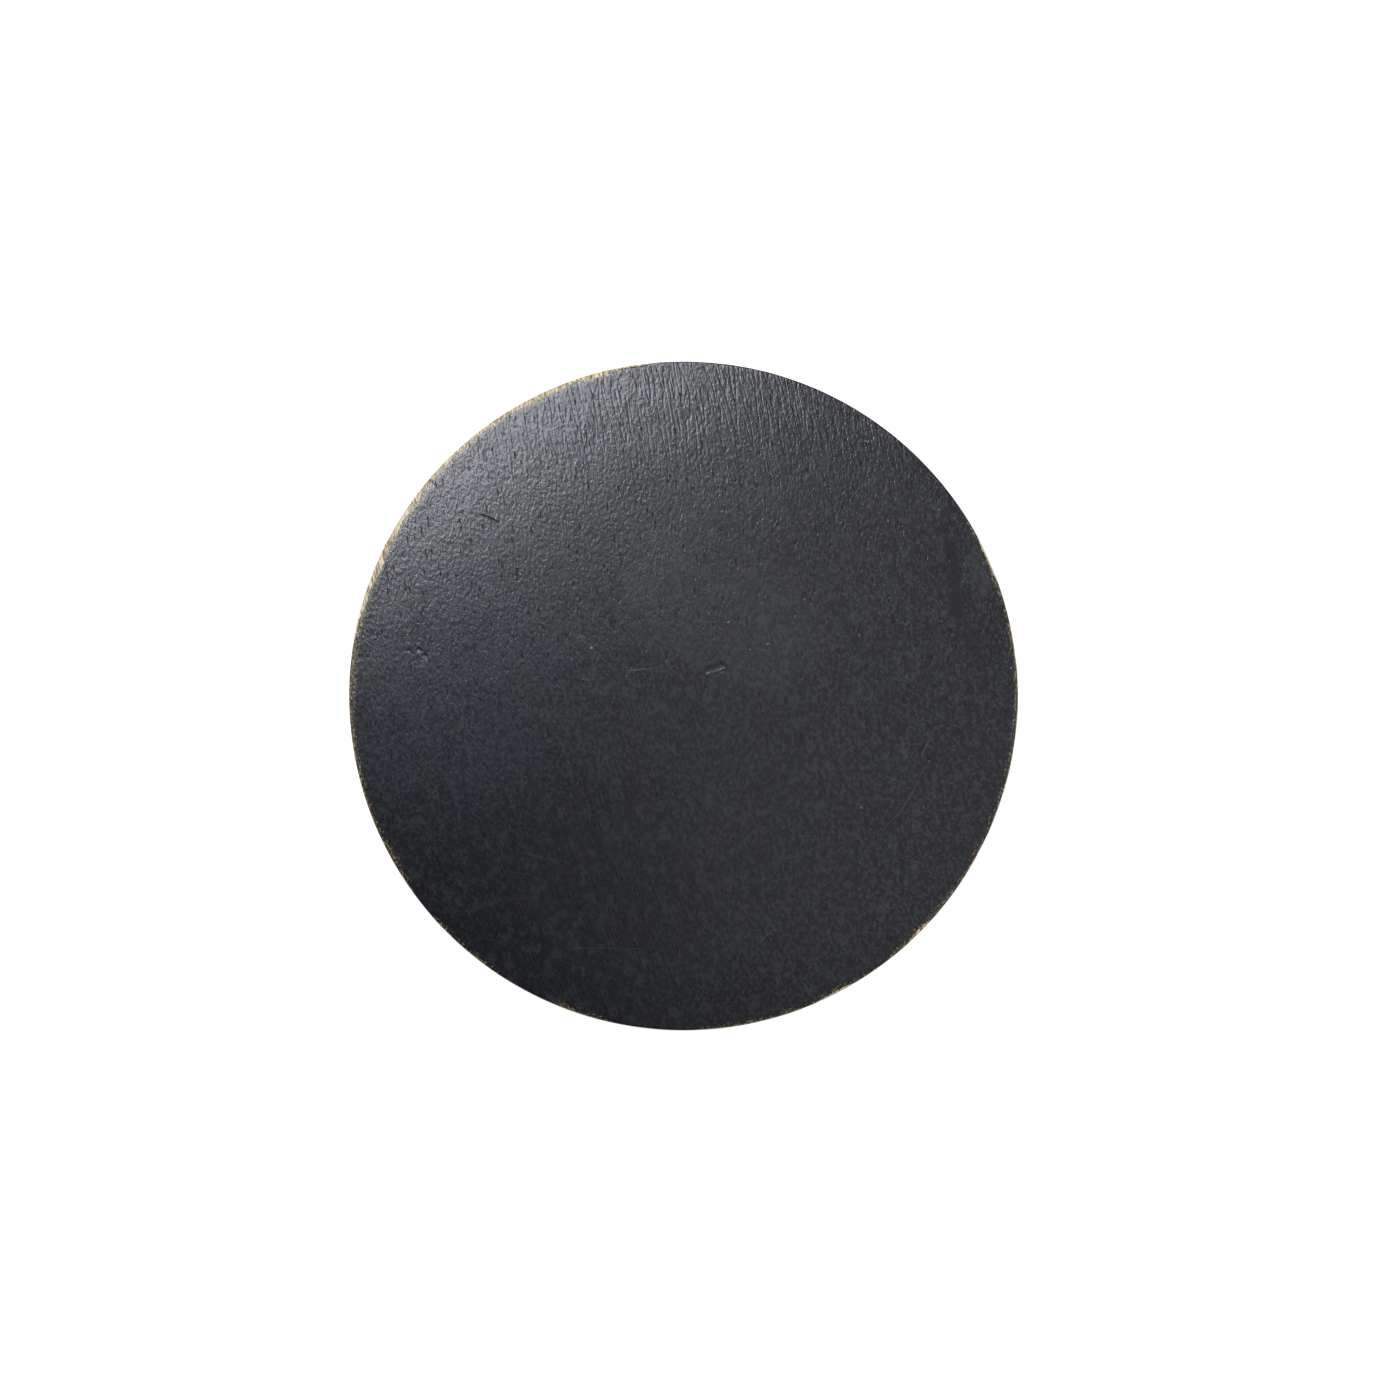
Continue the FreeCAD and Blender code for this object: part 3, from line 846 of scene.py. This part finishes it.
def green_felt():
    """Matted wool: short crossing fibres, with painted shade where they lie deep."""
    n = Nodes("green_felt")
    fibres = 0.0
    for index in range(3):
        crossing = math.radians(60 * index + 13)
        fibres = n.math("MAXIMUM", fibres, n.noise((0.09, 0.9, 0.5), crossing, rough=0.6))
    clumps = n.noise((1.6, 1.6, 1.6), detail=3.0, rough=0.6)
    # painted shade: the green darker where the fibres lie low
    green = n.mix(n.range(fibres, 0.45, 0.75), colour(0.006, 0.030, 0.014), colour(0.022, 0.115, 0.055))
    green = n.mix(n.range(clumps, 0.4, 0.7, 0.0, 0.5), green, colour(0.012, 0.065, 0.035))
    n.set("Base Color", green)
    n.set("Roughness", n.range(clumps, 0.3, 0.7, 0.9, 1.0))
    n.set("Sheen Weight", 0.35)
    n.set("Sheen Roughness", 0.5)
    n.set("Normal", n.bump(fibres, 0.12))
    return n.material


def turned_steel():
    """A turned steel disc: fine rings, a few stains."""
    n = Nodes("steel_plate")
    rings = n.noise((0.06, 14.0, 1.0), rough=0.6, place=n.polar())
    stains = n.noise((5, 5, 5), detail=3.0, rough=0.6)
    steel = n.mix(n.range(rings, 0.3, 0.7), colour(0.34, 0.34, 0.35), colour(0.52, 0.52, 0.52))
    steel = n.mix(n.range(stains, 0.55, 0.75, 0.0, 0.5), steel, colour(0.22, 0.19, 0.16))
    n.set("Base Color", steel)
    n.set("Metallic", 1.0)
    n.set("Roughness", n.range(stains, 0.3, 0.7, 0.30, 0.48))
    n.set("Normal", n.bump(rings, 0.01))
    return n.material


def zinc_plating():
    """Zinc plating: pale and faintly crystalline."""
    n = Nodes("zinc_screw")
    grains = n.noise((0.5, 0.5, 0.5), detail=3.0, rough=0.6)
    plating = n.mix(n.range(grains, 0.35, 0.65), colour(0.50, 0.51, 0.53), colour(0.68, 0.69, 0.70))
    n.set("Base Color", plating)
    n.set("Metallic", 1.0)
    n.set("Roughness", n.range(grains, 0.3, 0.7, 0.25, 0.42))
    n.set("Normal", n.bump(grains, 0.01))
    return n.material


def dried_adhesive():
    """A skin of dried amber adhesive, rolled on unevenly."""
    n = Nodes("adhesive")
    rolled = n.noise((0.8, 2.2, 0.8), 0.3, detail=3.0, rough=0.6)
    amber = n.mix(n.range(rolled, 0.3, 0.7), colour(0.50, 0.40, 0.20), colour(0.68, 0.60, 0.40))
    n.set("Base Color", amber)
    n.set("Roughness", n.range(rolled, 0.3, 0.7, 0.35, 0.6))
    n.set("Normal", n.bump(rolled, 0.05))
    return n.material


def finish_node(name, material):
    """Gives a carried-over CAD node its material."""
    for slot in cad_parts[name].material_slots:
        slot.material = material


# ---------------------------------------------------------------- stage, light and camera

DISC_SHARE = 0.4790  # of the picture's width that the disc takes up
OFF_AXIS = (1.87, -0.47)  # the camera stands this far from the disc's axis, in millimetres
LENS = 120.0  # focal length in millimetres
SENSOR = 36.0  # its width in millimetres
FLOOR_SIDE = 6.0  # metres
WHITE = colour(1, 1, 1)


def make_camera():
    """A long lens looking straight down."""
    data = bpy.data.cameras.new("camera")
    data.lens = LENS
    data.sensor_width = SENSOR
    picture_width = 2 * RADIUS / DISC_SHARE
    distance = picture_width * LENS / SENSOR
    camera = bpy.data.objects.new("camera", data)
    camera.location = (OFF_AXIS[0] * MM, OFF_AXIS[1] * MM, (ROUND_LEVEL + distance) * MM)
    bpy.context.scene.collection.objects.link(camera)
    bpy.context.scene.camera = camera


def make_floor():
    """A plain pale light table, which softens the shadow from below."""
    bpy.ops.mesh.primitive_plane_add(size=FLOOR_SIDE)
    floor = bpy.context.object
    floor.name = "floor"
    n = Nodes("floor")
    n.set("Base Color", colour(0.4, 0.4, 0.4))
    n.set("Roughness", 0.9)
    n.set("Emission Color", WHITE)
    n.set("Emission Strength", 0.93)
    floor.data.materials.append(n.material)


def make_light(name, azimuth, tilt, distance, size, radiance, tint):
    """A soft box that looks at the disc. Azimuth from +X and tilt from +Z in degrees, metres."""
    data = bpy.data.lights.new(name, "AREA")
    data.shape = "RECTANGLE"
    data.size, data.size_y = size
    data.energy = radiance * math.pi * size[0] * size[1]
    data.color = tint
    light = bpy.data.objects.new(name, data)
    turn, lean = math.radians(azimuth), math.radians(tilt)
    direction = (math.sin(lean) * math.cos(turn), math.sin(lean) * math.sin(turn), math.cos(lean))
    light.location = [distance * part for part in direction]
    to_disc = (cad_low + cad_high) / 2 - light.location
    light.rotation_mode = "QUATERNION"
    light.rotation_quaternion = to_disc.to_track_quat("-Z", "Y")
    bpy.context.scene.collection.objects.link(light)


def make_world(horizon, zenith):
    """Pale walls that fade into a dark ceiling."""
    wall_top, ceiling = 0.15, 0.85  # how steeply up the fade begins and ends, 1 being straight up
    world = bpy.data.worlds.new("world")
    world.use_nodes = True
    tree = world.node_tree
    direction = tree.nodes.new("ShaderNodeTexCoord")
    parts = tree.nodes.new("ShaderNodeSeparateXYZ")
    fade = tree.nodes.new("ShaderNodeMapRange")
    fade.interpolation_type = "SMOOTHSTEP"
    names = ("From Min", "From Max", "To Min", "To Max")
    for name, value in zip(names, (wall_top, ceiling, horizon, zenith)):
        fade.inputs[name].default_value = value
    tree.links.new(direction.outputs["Generated"], parts.inputs[0])
    tree.links.new(parts.outputs["Z"], fade.inputs["Value"])
    background = tree.nodes["Background"]
    background.inputs["Color"].default_value = colour(0.94, 0.945, 1.0)
    tree.links.new(fade.outputs["Result"], background.inputs["Strength"])
    bpy.context.scene.world = world


# ---------------------------------------------------------------- the scene

make_painted_disc().data.materials.append(painted_wood())
make_felt().data.materials.append(green_felt())
finish_node("ballast_plate", turned_steel())
finish_node("adhesive_film", dried_adhesive())
screw_finish = zinc_plating()
for number in (1, 2, 3):
    finish_node(f"ballast_screw_{number}", screw_finish)

make_camera()
make_floor()
make_light(
    "key",
    azimuth=122,
    tilt=28.3,
    distance=0.9,
    size=(0.60, 0.14),
    radiance=22.0,
    tint=(0.90, 0.925, 1.0),
)
make_light(
    "fill",
    azimuth=0,
    tilt=18,
    distance=1.2,
    size=(1.0, 1.0),
    radiance=0.60,
    tint=(0.90, 0.91, 1.0),
)
make_world(horizon=0.6, zenith=0.05)
bpy.context.scene.view_settings.view_transform = "Standard"

bpy.context.view_layer.update()
